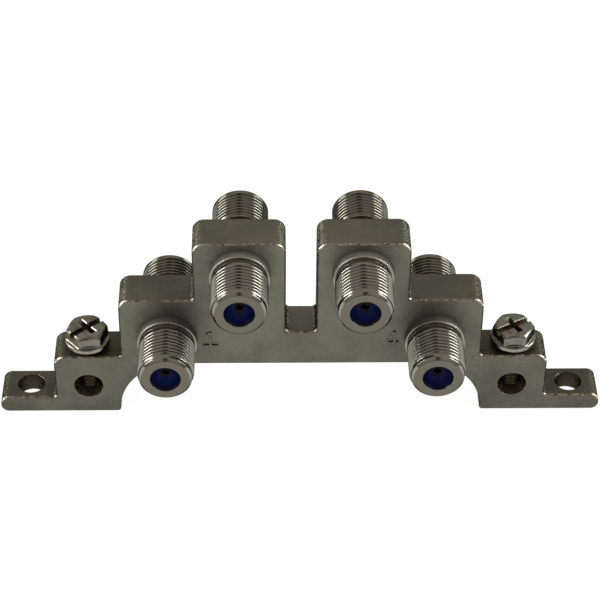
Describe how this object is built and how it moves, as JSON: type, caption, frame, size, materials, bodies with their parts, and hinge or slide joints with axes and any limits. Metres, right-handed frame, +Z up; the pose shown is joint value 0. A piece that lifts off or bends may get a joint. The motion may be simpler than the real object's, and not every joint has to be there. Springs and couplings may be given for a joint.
{
  "type": "coaxial grounding block",
  "caption": "Stepped cast-metal bridge with threaded coax ports straight through it, a ground wire hole and clamp screw in each foot, and a screw ear at each end.",
  "frame": {"origin": "middle of the block on the plane that its feet stand on", "axes": "+X from ear to ear, -Y the numbered front face, +Z up from the mounting surface"},
  "size_m": [0.103, 0.0274, 0.0366],
  "materials": {
    "cast_body": "satin plated casting",
    "plated_barrel": "bright plated turning",
    "insulator": "moulded, dark blue",
    "contact": "spring metal",
    "plated_screw": "plated steel"
  },
  "bodies": {
    "block": {"ground_block": "cast_body", "outer_left_barrel": "plated_barrel", "outer_left_front_insulator": "insulator", "outer_left_rear_insulator": "insulator", "outer_left_contact": "contact", "outer_right_barrel": "plated_barrel", "outer_right_front_insulator": "insulator", "outer_right_rear_insulator": "insulator", "outer_right_contact": "contact", "inner_left_barrel": "plated_barrel", "inner_left_front_insulator": "insulator", "inner_left_rear_insulator": "insulator", "inner_left_contact": "contact", "inner_right_barrel": "plated_barrel", "inner_right_front_insulator": "insulator", "inner_right_rear_insulator": "insulator", "inner_right_contact": "contact"},
    "left_screw": {"left_ground_screw": "plated_screw"},
    "right_screw": {"right_ground_screw": "plated_screw"}
  },
  "joints": [
    {"name": "left_screw_travel", "type": "slide", "parent": "block", "child": "left_screw", "axis": [0, 0, 1], "range_m": [0, 0.0044]},
    {"name": "right_screw_travel", "type": "slide", "parent": "block", "child": "right_screw", "axis": [0, 0, 1], "range_m": [0, 0.0044]}
  ]
}
